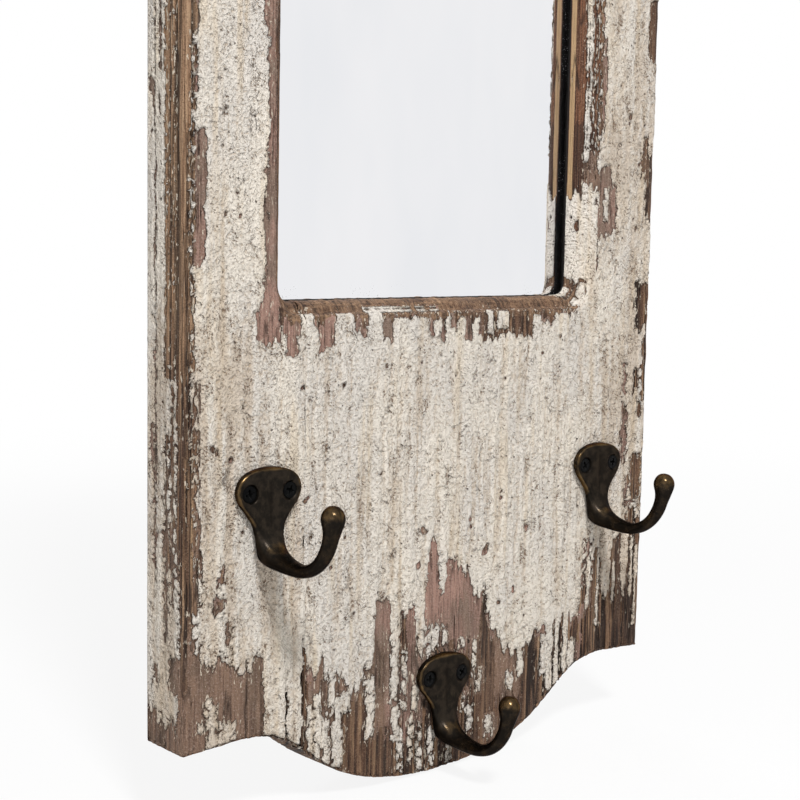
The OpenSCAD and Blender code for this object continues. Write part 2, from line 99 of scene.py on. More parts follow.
# Bits of the cream coat still hanging on, likewise
HANGING = (
    (9.7, 14.2, -2, 16), (15.2, 21.4, 1.5, 9.5), (6, 8, 8, 11), (4, 6, 36, 49), (9, 11, 14, 19),
    (53, 55.4, -20, 8), (55.8, 59, -26, 12), (59.6, 63, -18, 3), (62.4, 66, 2, 15),
    (64.6, 69.6, -24, 8), (66, 73, 3, 10), (80, 84.4, -10, 8), (79.6, 84, 8, 14), (92, 96.4, 2, 30),
    (93, 97, -14, 0), (98, 100, -2, 20), (105.8, 108, 18, 35), (108.6, 110.2, 21, 32),
    (110.8, 113.2, 17, 28), (103.8, 106.2, -4, 8), (129.4, 131.8, -9, -2), (132.6, 135.2, -18, -8),
    (134.4, 136.6, 5, 19), (96, 98.6, -26, -10), (101.6, 104, -24, -6), (106, 108.4, -28, -8),
    (112, 114.8, -27, -12), (112.4, 116, 18, 27), (118, 121, 20, 27), (127, 130, 17, 21),
    (121.5, 124.5, -28, -18), (137, 139.6, -2, 6), (142, 147, -22, -15), (154, 157, -4, 2),
    (160.6, 163, 0, 9), (174, 177, -2, 15), (177.2, 180.4, -9, 18), (182, 184, -8, 20),
    (187, 189, -2, 20), (190, 193.6, -4, 9), (200.4, 202, 22, 44), (206.6, 208, 14, 48),
    (209.8, 214.4, 27, 56), (216.6, 218, 22, 40), (223, 225.2, 27, 56), (228, 229.4, 24, 50),
    (231.4, 232.4, 10, 44), (78.6, 97, 150.8, 153.2), (98, 101.4, 151.2, 152.8),
    (104.4, 108.2, 151, 153), (111, 114, 151, 152.8), (139, 141.6, 140, 150),
    (144.6, 150, 141.4, 149), (49, 53.6, 133, 151), (64, 71.6, 138, 150.4), (79.4, 85, 139, 150.6),
    (192.3, 193.1, 205, 300), (192.6, 193.2, 300, 520), (203.8, 206.6, 184, 197),
    (-17.8, -16.8, 200, 420), (0.8, 2.2, 380, 460), (-9, -7, 330, 340),
)
# Places where it holds on in small scraps
SCRAPS = (
    (191.8, 201, 212, 336), (194, 198.4, 330, 520), (-13, -6.6, 128, 620), (3.2, 7, 60, 128),
    (2, 4.4, 130, 240), (197, 204, 30, 52), (78, 190, 147, 152),
)
# Places where the soft wood has worn away between hard ridges
GROOVED = (
    (194, 240, -60, 60), (222, 240, 55, 200), (-13, 8, 100, 700), (-4, 6, 40, 120),
    (163, 200, -60, 30), (30, 62, -60, 24), (-24, -4, -60, 16), (95, 136, -60, 30),
    (30, 60, 560, 700), (150, 240, 590, 700),
)
# Places where the primer shows wide
PRIMED = (
    (95, 136, 24, 70), (84, 106, -4, 44), (58, 84, 12, 40), (28, 42, 138, 158),
    (32, 39.4, 150, 540), (40, 134, 130, 148), (196, 203, 172, 202), (150, 196, -6, 20),
    (198, 236, 150, 240), (3.4, 8, 120, 210), (230, 240, 100, 600), (0, 12, 560, 640),
    (-24, 34, -20, 40),
)
# Places where the primer is dingy and brown
DINGY = (
    (-24, 46, -40, 46), (188, 198, 194, 212), (60, 86, -30, 22), (137, 166, -20, 14),
    (-14, 6, 46, 130),
)
# Places where the primer is pale and pinkish
PINKISH = ((28, 44, 132, 158), (49, 62, 134, 150), (109, 117, 30, 62), (120, 128, 36, 56))
# Places where the cream coat has cracked into islands near its edges
BROKEN = ((8, 150, -40, 60), (-24, 8, -10, 110), (216, 240, 50, 215), (184, 212, 156, 214))
# Small chips knocked out of the cream coat, as x, height, radius
CHIPS = (
    (107.4, 66, 1.7), (108.8, 65.4, 1.2), (131.8, 67.4, 1.2), (132.4, 64.6, 1.1), (50.6, 82.8, 1.1),
    (52, 84, 0.9), (163, 60.4, 1.6), (140.2, 53.8, 1.7), (141.2, 55.6, 1.1), (148, 74, 0.9),
    (11.6, 104.4, 1.4), (13.4, 103, 1), (19, 100, 1.1), (24, 118, 0.9), (156.4, 36, 1.6),
    (148.4, 32, 1.3), (105.4, 52.6, 1.4), (22, 182, 0.9), (16.4, 182.8, 0.8), (218.6, 227, 1.3),
    (224, 181, 1.1), (49.6, 123.4, 0.8), (67.4, 122.8, 0.9), (30, 400, 1.2), (14, 455, 1.4),
    (208, 470, 1.2), (222, 420, 1), (92, 556, 1.4), (141, 572, 1.2), (117, 602, 1.6), (64, 590, 1),
    (176, 540, 1), (205, 580, 1.2),
)
# Bare places where the primer has gone too, down to brown wood
RAW_WOOD = (
    (-16, 5.2, 100, 700), (-4, 2.4, 20, 110), (30, 60, -70, -1), (68, 80, -18, 5),
    (96, 101, 14, 34), (163, 196, -40, 16), (204, 260, -60, 60), (38.4, 41, 158, 540),
    (38, 198, 146.4, 154), (134, 165, 137, 147), (180, 190, 150, 540), (190, 201, 212, 540),
    (192, 197, 150, 180), (226, 262, 60, 700), (41, 194, 512, 522), (42, 45, -30, 30),
    (50, 52, -30, 34), (50, 118, -60, -12), (118, 140, -60, -6), (140.4, 142, 10, 40),
)
# Deep cracks along the grain, as x, height from, height to, width
SPLITS = (
    (50.1, -30, 33, 1.0), (43.5, 0, 24, 0.8), (141.2, 10, 36, 0.8), (26.4, -4, 22, 0.5),
    (105.6, -26, 30, 0.6), (96.8, -26, 12, 0.7), (208, -4, 44, 0.8), (213, -4, 26, 0.7),
    (219, -2, 46, 0.8), (226.6, -2, 50, 0.7), (230.6, 0, 56, 0.6), (185.2, -6, 22, 0.6),
    (1.6, 30, 200, 0.5), (168.4, -10, 14, 0.7), (3.6, 150, 640, 0.6), (-6.4, 150, 620, 0.6),
    (-9.6, 90, 500, 0.5), (120.8, 560, 640, 0.8), (86, 590, 636, 0.5), (184.9, 592, 602, 0.8),
)
# Where the plates of the hooks sit, as x, height of the screws
SEATS = ((33.1, 88.3), (117.5, 8.4), (202.1, 83.6))

dice = np.random.RandomState(41)
SHUFFLE = dice.permutation(1024)
WAY = dice.rand(1024) * 2 * math.pi
ROLL, SHIFT = dice.rand(1024), dice.rand(1024)


def hashed(u, v, seed):
    return SHUFFLE[(SHUFFLE[(u + 57 * seed) & 1023] + v) & 1023]


def swirl(u, v, seed):
    """Smooth noise from about -1 to 1 with one bump to each unit."""
    iu, iv = np.floor(u).astype(np.int64), np.floor(v).astype(np.int64)
    fu, fv = u - iu, v - iv

    def pull(du, dv):
        turn = WAY[hashed(iu + du, iv + dv, seed)]
        return np.cos(turn) * (fu - du) + np.sin(turn) * (fv - dv)

    su, sv = (f * f * f * (f * (6 * f - 15) + 10) for f in (fu, fv))
    low = pull(0, 0) * (1 - su) + pull(1, 0) * su
    high = pull(0, 1) * (1 - su) + pull(1, 1) * su
    return 1.5 * (low * (1 - sv) + high * sv)


def layered(u, v, seed, layers=3):
    return sum(swirl(u * 2.03**i, v * 2.03**i, seed + i) * 0.5**i for i in range(layers))


def flakes(u, v, seed):
    """Distance to the nearest of many scattered points, one to a unit square, and its roll."""
    iu, iv = np.floor(u).astype(np.int64), np.floor(v).astype(np.int64)
    near, roll = np.full(u.shape, 9.0), np.zeros(u.shape)
    for du in (-1, 0, 1):
        for dv in (-1, 0, 1):
            h = hashed(iu + du, iv + dv, seed)
            away = hypot(u - iu - du - SHIFT[h], v - iv - dv - ROLL[(h + 311) & 1023])
            roll = where(away < near, ROLL[h], roll)
            near = minimum(near, away)
    return near, roll


def from_box(a, b):
    """Distance from a box, given how far each way a place lies past its sides; negative inside."""
    return hypot(maximum(a, 0), maximum(b, 0)) + minimum(maximum(a, b), 0)


def nearest(u, v, boxes):
    """Distance in mm from the nearest of the boxes, at most 50."""
    found = np.full(u.shape, 50.0)
    for x0, x1, z0, z1 in boxes:
        up = abs(v - (z0 + z1) / 2) - (z1 - z0) / 2
        close = up < 14
        aside = abs(u[close] - (x0 + x1) / 2) - (x1 - x0) / 2
        found[close] = minimum(found[close], from_box(aside, up[close]))
    return found


def step(x):
    x = clip(x, 0, 1)
    return x * x * (3 - 2 * x)


def wave(x):
    """How far the sawn foot or crest reaches past the corners, x from the middle line."""
    t = np.linspace(0, 1, 40)
    steep, lean = np.array((SWOOP_X, BELLY * 0.37)), np.array((SWOOP_X * 0.13, -BELLY * 0.22))
    shoulder = (SHOULDER_X, -SHOULDER_BOW)

    def bend(*points):
        terms = zip((1, 3, 3, 1), points, range(4))
        return sum(k * np.outer((1 - t) ** (3 - i) * t**i, point) for k, point, i in terms)

    inner = bend((0, BELLY), (SWOOP_X * 0.45, BELLY), steep - 2 * lean, steep)
    half_way = ((SWOOP_X + SHOULDER_X) / 2, -SHOULDER_BOW)
    outer = bend(steep, steep + lean, half_way, shoulder)
    line = np.vstack((inner, outer, [(BOARD_W / 2, 0)]))
    return np.interp(abs(x), line[:, 0], line[:, 1])


def coats(u, z, dep, rim, mouth, back, upright):
    """The paint's state at unfolded places: cover of cream and of primer in mm, raw ridges,
    cracks, bared wood and the painted shade deep in the opening, the primer's tint and where soft
    wood is worn."""

    def drift(wide, tall, seed):
        return swirl(u / wide, z / tall, seed)

    def rough(wide, tall, seed, layers=3):
        return layered(u / wide, z / tall, seed, layers)

    fall = 4.6 * drift(2.1, 55, 3) + 2.6 * drift(0.9, 26, 4) + 1.6 * rough(2.6, 2.8, 5)
    slip = 1.1 * drift(3.4, 7, 8) + 0.6 * rough(1.4, 1.6, 9, 2)
    uw, zw = u + slip, z + fall * clip(1.2 - abs(slip) * 0.2, 0.5, 1.2)
    x, h = np.array(FOOT_LINE, float).T
    cover = minimum((z + 0.75 * fall - np.interp(uw, x, h)) * 0.5, 9)
    crest = SIDE_H + wave(clip(u, 0, BOARD_W) - BOARD_W / 2)
    cover = minimum(cover, (crest - 4.5 + 0.9 * fall - z) * 0.5 + 3 * drift(14, 30, 12))
    cover = minimum(cover, nearest(uw, z + 0.5 * fall, FLAKED))
    cracked = flakes(uw / 3.1, z / 3.4, 21)[0]
    cover = cover + 0.9 * (cracked - 0.55) + 0.35 * rough(1.1, 1.2, 30, 2)
    scraps = 1.6 * rough(1.2, 3.6, 91) - where(u < 0, 0.6, 0.05)
    patchy = nearest(u, z, SCRAPS) < 0.8 * drift(2, 5, 92)
    held = scraps - where((z > 140) & (z < 156), 0.9, 0.35)
    cover = where(patchy, maximum(minimum(cover, scraps), held), cover)
    hung = nearest(u + 0.7 * slip, z + 0.45 * fall * where(z < 130, 1, 0.3), HANGING)
    cover = maximum(cover, 0.25 - hung * 0.9)
    island = 4.4 * abs(rough(4.4, 6.5, 98, 2)) - 0.6 + 3 * clip(cover - 1.2, 0, 9)
    cover = where(nearest(uw, zw, BROKEN) < 0, minimum(cover, island), cover)
    # The lip still has its cream low on the right
    on_right = u > 117
    lip = upright & on_right & (mouth < 8) & (z < 190) & (z > 160 + 2 * drift(2, 6, 69))
    kept = minimum(2, hypot(u - 187.4, (z - 181.7) * 0.6) - 1.5 + 0.5 * slip)
    cover = where(lip, maximum(cover, kept), cover)
    tint = where(lip, 0.9, step(1.2 - nearest(uw, zw, DINGY) / 6))
    tint = tint - 0.62 * step(1 - nearest(uw, zw, PINKISH) / 3)
    for cx, cz, r in CHIPS:
        close = (abs(u - cx) < 5) & (abs(z - cz) < 5)
        sag = slip[close]
        away = hypot((u[close] - cx) * 1.3 + 0.8 * sag, z[close] - cz + 0.5 * sag)
        cover[close] = minimum(cover[close], (away - r) * 0.9)
        shade = -0.9 if int(10 * cx) % 3 == 1 else 0.7
        tint[close] = where(away < r + 1, shade, tint[close])
    spot, roll = flakes(u / 6.3, z / 7.1, 24)
    pock = spot * 6.5 - 0.2 - 5 * roll + 0.5 * slip
    cover = where(roll < 0.11, minimum(cover, pock + 0.12), cover)
    # Rubbed bare along the arris, and never painted on the back or deep in the opening
    off_edge = rim > 8
    cover = minimum(cover, maximum(rim, dep) - 0.9 - 0.7 * rough(5, 16, 33, 2))
    unpainted = back | (dep > LIP_D - 0.6) & (mouth < 20) & off_edge
    cover = where(unpainted, -6, clip(cover, -6, 6))
    primer = nearest(uw, zw, RAW_WOOD) + 1.2 * rough(2.2, 9, 36) + 1.5 * drift(16, 40, 39)
    wide = 6 * step(1 - nearest(uw, zw, PRIMED) / 5)
    primer = minimum(primer, 1.0 + 0.8 * cover + wide + 1.6 * rough(2.6, 11, 93))
    primer = where(back, -6, clip(primer, -6, 6))
    line = swirl(u / 1.75 + 0.5 * drift(11, 45, 40), z / 130, 41)
    ridge = 0.75 * line + 0.45 * drift(0.8, 70, 42) + 0.25 * rough(0.6, 9, 43, 2)
    worn = step(0.5 - nearest(uw, zw, GROOVED) / 8)
    groove = swirl(u / 3.1 + 0.35 * drift(8, 60, 95), z / 150, 96)
    groove = exp(-((groove / 0.15) ** 2)) * worn
    ridge = clip(clip(ridge, -1, 1) + worn * (0.35 - 1.3 * groove), -1.4, 1)
    crack = 0.8 * groove**2 * step(-cover) * step(0.75 + drift(3, 30, 97))
    for cx, z0, z1, w in SPLITS:
        near = abs(u - cx - 0.5 * swirl(np.zeros(u.shape) + cx, z / 9, 50)) / w
        ends = step((z - z0 + 3) / 5) * step((z1 + 3 - z) / 5)
        crack = maximum(crack, clip(1.25 - near, 0, 1) * ends)
    thin = abs(swirl(u / 3.3 + 0.4 * drift(9, 30, 52), z / 48, 53))
    thin = thin + 0.5 * step(drift(9, 22, 54) + 0.3)
    crack = maximum(crack, clip(1 - thin / 0.12, 0, 1) * step(-cover * 1.5))
    # Fresh tan wood on the left corner and side and on the sill of the opening
    in_mouth = (mouth < EDGE_W) & off_edge
    corner = clip(1.5 - abs(u + 0.6) / 2.6, 0, 1)
    corner = corner * step((z - 140) / 160 + 0.6 * drift(1.4, 60, 62))
    side = (0.72 + 0.3 * drift(2, 40, 64)) * step((u + 16) / 4) * step((9 - u) / 3)
    side = side * step((z - 110) / 50)
    sill = 0.42 * (in_mouth & (z < 170)) * (0.8 + drift(14, 2, 65))
    fresh = maximum(maximum(0, 0.75 * corner), maximum(side, sill))
    # Dark and reddish round the right of the opening, tan then near black deep inside it; the near
    # black is painted shade in the gap behind the lip
    tan_dep, black_dep = 8.2, 10.9
    stile = (u > 183) & (u < 200) & (z > 190) & (z < 510) & (mouth > 1.3) & off_edge
    fresh = where(stile, -0.55 - 0.4 * drift(3, 30, 63), fresh)
    deep = in_mouth & ~back
    right = deep & upright & on_right & (z < 505)
    dull = deep & (dep > 3.6) & on_right & (z > 165)
    fresh = where(dull, -0.9 + 0.25 * drift(1, 30, 66), fresh)
    dark = deep & on_right & (z > 190 + 2 * drift(3, 9, 67)) & (dep < 9)
    dark &= z < 224 + 5 * swirl(u / 3, 0 * z, 68)
    fresh = where(dark, -1.5, fresh)
    fresh = where(right & (dep > tan_dep) & (z > 192 + 1.5 * drift(2, 2, 61)), 1.5, fresh)
    # Near black, painted shade: deep in the opening, and on the lip's underside that shows in the
    # mirror
    black = (deep & (dep > where(right, black_dep, 11))) | (back & (mouth < 12) & off_edge)
    fresh = where(black, -2.0, fresh)
    cover = where(right & (dep > black_dep), -6, cover)
    primer = where(right & (dep > tan_dep), -3, primer)
    return cover, primer, ridge, crack, fresh, tint, worn


def read(items, key, width=3, kind=np.float32):
    """One property of each point, face or corner of a mesh, as rows."""
    got = np.empty(len(items) * width, kind)
    items.foreach_get(key, got)
    return got.reshape(-1, width)


def write(body, points):
    """Moves a mesh's points to places in mm."""
    body.vertices.foreach_set("co", (points * MM).astype(np.float32).ravel())
    body.update()


def keep(body, **masks):
    """Keeps masks on a mesh's points, for its finish."""
    for name, mask in masks.items():
        layer = body.attributes.new(name, "FLOAT", "POINT")
        layer.data.foreach_set("value", mask.astype(np.float32))


def weather(body):
    """Moves a plank's points by its coats and wear, and keeps what the finish needs on them."""
    p, way = (read(body.vertices, key).astype(float) for key in ("co", "normal"))
    p = p / MM
    x, y, z = p.T
    dep = y + BOARD_T
    low, high = -wave(x), SIDE_H + wave(x)
    slope = hypot(1, np.gradient(wave(np.arange(0, 130.0))))
    slope = slope[minimum(abs(x), 129).astype(int)]
    rim = minimum(BOARD_W / 2 - abs(x), minimum(z - low, high - z) / slope)
    a = abs(x) - OPENING["half_w"] + OPENING["corner"]
    b = abs(z - OPENING["mid_z"]) - OPENING["half_h"] + OPENING["corner"]
    mouth = from_box(a, b) - OPENING["corner"]
    away = hypot(way[:, 0], way[:, 2])
    lean = clip(away * 1.5, 0, 1) / maximum(away, 1e-6)
    inward = clip(dep, 0, None)
    u = x + BOARD_W / 2 + inward * way[:, 0] * lean
    v = z + inward * way[:, 2] * lean
    back = (way[:, 1] > 0.5) | (dep > BOARD_T - 0.3)
    from_edge = clip(rim, 0, None)
    coat = coats(u, v, inward, from_edge, mouth, back, a > b)
    cover, primer, ridge, crack, fresh, tint, soft = coat
    sawn = (abs(way[:, 2]) > 0.5) & (rim < 1) & ~back & (dep > 0.5)
    frayed = 0.9 - dep + 0.8 * layered(u / 2, dep, 94, 2)
    cover = where(sawn, minimum(cover, frayed), cover)
    primer = where(sawn, -3, primer)
    film, base = step(cover / 0.45), step(primer / 0.6 + 0.5)
    grain, roll = flakes(u / 1.9 + 0.3 * swirl(u / 3, v / 3, 78), v / 2.3, 79)
    lumps = 0.14 * layered(u / 2.4, v / 3.1, 70) + 0.12 * layered(u / 1.15, v / 1.35, 72, 2)
    lumps = lumps - 0.2 * (grain - 0.5) * (roll > 0.35)
    runs = 0.2 * swirl(u / 3.4, v / 46, 74) + 0.16 * swirl(u / 11, v / 60, 75)
    comb = swirl(u / 3.3 + 0.3 * swirl(u / 9, v / 20, 81), v / 85, 82)
    combed = 0.4 * comb - 0.3 * exp(-((comb / 0.14) ** 2)) * (u > 38)
    runs = runs + step(1.2 - abs(v - 85) / 80) * where(u > 186, 0.4, 1) * combed
    curl = 0.2 * exp(-clip(cover, 0, 9) / 0.7) * (0.5 + 0.5 * swirl(u / 4, v / 5, 76))
    thick = 0.62 + 0.12 * swirl(u / 20, v / 26, 77)
    wood = (0.62 - 0.25 * base) * ridge - 0.1
    coated = film * (thick + lumps + runs + curl - wood * 0.75)
    height = where(back, 0.12 * ridge - 0.14, wood + base * 0.06 + coated - 0.72)
    height = height - 0.75 * crack * (1 - 0.7 * film) * ~back
    inside = (mouth < EDGE_W - 0.3) & (dep > 0.4) & (rim > 8)
    deep = inside & (dep > LIP_D - 0.3)
    height = where(deep, -0.02, where(inside, height * 0.6 + 0.05, height))
    # Under a hook's plate the coat is pressed flat
    for sx, sz in SEATS:
        seat = hypot((u - sx) / 13.6, (v - sz) / 8.8) - 1
        seat = minimum(seat, hypot((u - sx) / 6.6, (v - sz + 12) / 13) - 1)
        flat = step(1 - seat / 0.16) * (dep < 1)
        height = height * (1 - flat) - 0.03 * flat
    worn = step(1 - maximum(rim, 0) / 2.2) * step(1 - clip(dep, 0, 9) / 2.2)
    worn = worn * (0.65 + 0.5 * layered(u / 6, v / 11, 80, 2))
    front, side = (dep < 0.5) & (mouth > EDGE_W - 0.2), (rim < 0.5) & ~back
    inner = ~front & ~side & ~back
    joint = (abs(abs(x) - JOINT_X) < 0.45 * GRID + 0.1) & (abs(way[:, 0]) > 0.3)
    joint &= ~inside & ~side & (mouth > 0.5)
    moved = p.copy()
    moved[:, 1] = where(front, -BOARD_T - height + worn * 1.1, y)
    moved[:, 1] += where(back & ~side, height, 0)
    out = np.stack((way[:, 0] * lean, np.zeros(len(p)), way[:, 2] * lean), 1)
    shift = height * where(sawn, 0.2, 0.7) - worn * where(sawn, 0.6, 1.1)
    moved += where(side, shift, 0)[:, None] * out
    moved += where(inner & ~joint, height, 0)[:, None] * way
    moved[joint, 0] = (np.sign(x) * JOINT_X)[joint]
    grime = 0.36 * step((u - 186) / 24) + 0.34 * step((54 - u) / 28) * step((190 - v) / 60)
    hollow = grime + 0.16 * step((36 - v) / 40) - lumps - 1.2 * runs
    keep(body, cream=cover, primer=primer, ridge=ridge, crack=crack, fresh=fresh, tint=tint)
    keep(body, soft=soft, hollow=hollow)
    write(body, moved)
    body.set_sharp_from_angle(angle=math.radians(58))


def lay_flat(body):
    """A map for the plank's finish: its six sides laid beside each other, seen square on."""
    way = read(body.polygons, "normal")
    total = read(body.polygons, "loop_total", 1, np.int32).ravel()
    p = read(body.vertices, "co")[read(body.loops, "vertex_index", 1, np.int32).ravel()]
    axis = abs(way).argmax(1)
    side = np.repeat(axis * 2 + (way[np.arange(len(way)), axis] > 0), total)
    flat, left, gap = np.zeros((len(p), 2)), 0.0, 0.003
    for k in range(6):
        here = side == k
        if here.any():
            a, b = ((1, 2), (0, 2), (0, 1))[k // 2]
            q = p[here][:, (a, b)]
            q = q - q.min(0)
            flat[here] = q + (left, 0)
            left += q[:, 0].max() + gap
    flat /= maximum(flat.max(0), 1e-6)
    layer = body.uv_layers.new(name="OFBake")
    layer.data.foreach_set("uv", (flat * 0.996 + 0.002).astype(np.float32).ravel())


def linked(name, data):
    """A new object in the scene."""
    thing = bpy.data.objects.new(name, data)
    bpy.context.scene.collection.objects.link(thing)
    return thing


def settled(*things):
    """The mesh of the first object with its modifiers worked in. The objects go."""
    seen = things[0].evaluated_get(bpy.context.evaluated_depsgraph_get())
    made = bpy.data.meshes.new_from_object(seen)
    for thing in things:
        bpy.data.objects.remove(thing)
    return made


def remeshed(node, size):
    """A copy of a solid's mesh as an even net of small squares."""
    copy = linked("copy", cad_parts[node].data.copy())
    net = copy.modifiers.new("net", "REMESH")
    net.mode, net.voxel_size, net.use_smooth_shade = "VOXEL", size, True
    return settled(copy)


def mount(name, body, finish, node):
    """Puts a finished mesh in place of a solid node."""
    body.name = name
    body.materials.clear()
    body.materials.append(finish)
    piece = linked(name, body)
    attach(piece, "frame")
    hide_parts(node)


def rgb(r, g, b):
    """A colour as the eye sees it, 0 to 255, made linear for the finish."""
    linear = (((c / 255 + 0.055) / 1.055) ** 2.4 if c > 10 else c / 255 / 12.92 for c in (r, g, b))
    return tuple(linear) + (1.0,)


class Wire:
    """An output of a shader node. Sums with wires and numbers add Math nodes to its tree."""

    def __init__(self, socket):
        self.socket, self.tree = socket, socket.id_data

    def __add__(self, other):
        return calc("ADD", self, other)

    def __sub__(self, other):
        return calc("SUBTRACT", self, other)

    def __mul__(self, other):
        return calc("MULTIPLY", self, other)

    def __truediv__(self, other):
        return calc("DIVIDE", self, other)


class Wires:
    """The outputs of a shader node, by name or number."""

    def __init__(self, node):
        self.node = node

    def __getitem__(self, key):
        return Wire(self.node.outputs[key])


def feed(socket, value):
    """Links a wire to a socket; any other value is set on the socket itself."""
    if isinstance(value, Wire):
        value.tree.links.new(value.socket, socket)
    else:
        socket.default_value = value


def put(tree, kind, settings=None, **values):
    """Adds a shader node, feeds its sockets by name and gives its outputs."""
    made = tree.nodes.new("ShaderNode" + kind)
    for key, value in (settings or {}).items():
        setattr(made, key, value)
    for key, value in values.items():
        feed(made.inputs[key.replace("_", " ")], value)
    return Wires(made)


def feed_all(made, *values):
    """Feeds a node's sockets in their order and gives its first output."""
    for socket, value in zip(made.node.inputs, values):
        feed(socket, value)
    return made[0]


def calc(how, *values, clamp=False):
    tree = next(v.tree for v in values if isinstance(v, Wire))
    return feed_all(put(tree, "Math", {"operation": how, "use_clamp": clamp}), *values)


def vector(how, *values):
    return feed_all(put(values[0].tree, "VectorMath", {"operation": how}), *values)


def scaled(place, by):
    return vector("MULTIPLY", place, by)


def span(value, *ends):
    """Turns low..high into 0..1, or into two more ends, with soft ends."""
    made = put(value.tree, "MapRange", {"interpolation_type": "SMOOTHSTEP"})
    return feed_all(made, value, *ends)


def over(share, under, top):
    """Lays one colour over another by a share. A colour is a wire or three numbers up to 255."""
    made = put(share.tree, "Mix", {"data_type": "RGBA"}, Factor=share)
    for socket, colour in zip(made.node.inputs[6:8], (under, top)):
        feed(socket, colour if isinstance(colour, Wire) else rgb(*colour))
    return made[2]


def coated(colour, *coats):
    """Lays coats over a colour in turn, each given as its share and its colour."""
    for share, top in coats:
        colour = over(share, colour, top)
    return colour


def ramp(value, *stops):
    made = put(value.tree, "ValToRGB", Fac=value)
    bar = made.node.color_ramp
    for i, (at, colour) in enumerate(stops):
        stop = bar.elements[i] if i < 2 else bar.elements.new(at)
        stop.position, stop.color = at, rgb(*colour)
    return made[0]


def noise(place, scale, detail=3.0, rough=0.5, twist=0.0):
    """Cloudy noise; a scale of three numbers stretches it."""
    if isinstance(scale, tuple):
        place, scale = scaled(place, scale), 1.0
    settings = dict(Vector=place, Scale=scale, Detail=detail, Roughness=rough, Distortion=twist)
    return put(place.tree, "TexNoise", **settings)[0]


def attribute(tree, name):
    return put(tree, "Attribute", {"attribute_name": name})["Fac"]


def bumped(height, strength, distance, **more):
    return put(height.tree, "Bump", Height=height, Strength=strength, Distance=distance, **more)[0]


def group(name, **takes):
    """An empty group of nodes and its inputs, each with a starting value or None for a place."""
    tree = bpy.data.node_groups.new(name, "ShaderNodeTree")
    for key, value in takes.items():
        kind = "NodeSocketVector" if value is None else "NodeSocketFloat"
        socket = tree.interface.new_socket(name=key, in_out="INPUT", socket_type=kind)
        if value is not None:
            socket.default_value = value
    return tree, Wires(tree.nodes.new("NodeGroupInput"))


def gives(tree, **values):
    """Ends a group with its named outputs."""
    for key in values:
        tree.interface.new_socket(name=key, in_out="OUTPUT", socket_type="NodeSocketFloat")
    end = tree.nodes.new("NodeGroupOutput")
    for key, value in values.items():
        feed(end.inputs[key], value)


def placed(made, **values):
    """A group placed in a finish, with its own values."""
    holder = values["Place"].tree.nodes.new("ShaderNodeGroup")
    holder.node_tree = made
    for key, value in values.items():
        feed(holder.inputs[key], value)
    return Wires(holder)


def new_finish(name):
    """An empty finish and the place on the piece that its textures go by."""
    made = bpy.data.materials.new(name)
    made.use_nodes = True
    made.node_tree.nodes.clear()
    return made, put(made.node_tree, "TexCoord")["Object"]


def shaded(place, **values):
    """Ends a finish with its shader."""
    shader = put(place.tree, "BsdfPrincipled", **values)[0]
    feed(put(place.tree, "OutputMaterial").node.inputs[0], shader)


# Grain along Z in sawn wood: fine fibres, broader bands and small dark pores
wood_grain, takes = group("wood_grain", Place=None, Fibres=1800.0, Bands=260.0)
place = takes["Place"]
gives(
    wood_grain,
    Fibre=noise(scaled(place, (1, 1, 0.028)), takes["Fibres"], 3.0, 0.6),
    Band=noise(scaled(place, (1, 1, 0.05)), takes["Bands"], 2.0, 0.5, 0.4),
    Pore=span(noise(place, (2600, 2600, 240), 1.0), 0.66, 0.74),
)

# Grit of a thick brushed coat: sandy lumps, fine pits, a few deeper holes, short hair cracks
grit, takes = group("grit", Place=None, Size=720.0, Low=0.0)
place, size = takes["Place"], takes["Size"]
sand = noise(place, size, 4.0, 0.6, 0.6)
fine = noise(place, size * 1.55, 3.0, 0.6, 0.3)
fields = noise(place, (230, 230, 150), 3.0, 0.6) + takes["Low"] * -0.15
hole = put(grit, "TexVoronoi", {"feature": "F1"}, Vector=place, Scale=size * 0.55, Randomness=1.0)
sway = put(grit, "TexNoise", Vector=place, Scale=520.0, Detail=3.0)["Color"]
bent = scaled(vector("ADD", place, scaled(sway, (0.003, 0.003, 0.003))), (150, 150, 210))
hair = put(grit, "TexVoronoi", {"feature": "DISTANCE_TO_EDGE"}, Vector=bent, Scale=1.0)
depth = hole["Distance"] + (fine - 0.5) * 0.5
gives(
    grit,
    Lumps=span(sand, 0.34, 0.56, 0.0, 0.13) + fine * 0.22,
    Pits=span(fine + (fields - 0.5) * 0.65, 0.345, 0.29),
    Holes=span(depth, 0.24, 0.12) * span(noise(place, 260.0, 2.0), 0.58, 0.66),
    Hairs=span(hair["Distance"], 0.026, 0.006) * span(noise(place, 160.0), 0.57, 0.64),
)

# The torn edge of a coat: turns a slow cover value into film, the dark line under its edge,
# which is painted shade and dirt, and its height
torn_edge, takes = group("torn_edge", Place=None, Cover=0.0, Ragged=0.35, Shade=0.5)
nibble = noise(takes["Place"], 1500.0, 3.0, 0.6) - 0.5
edge = takes["Cover"] + nibble * (takes["Ragged"] * 2.0)
below = edge / (takes["Shade"] * -1.0)
gives(
    torn_edge,
    Film=span(edge, -0.03, 0.05),
    Line=span(edge, 0.05, -0.03) * span(below, 1.0, 0.15),
    Rise=span(edge, -0.06, 0.3),
)

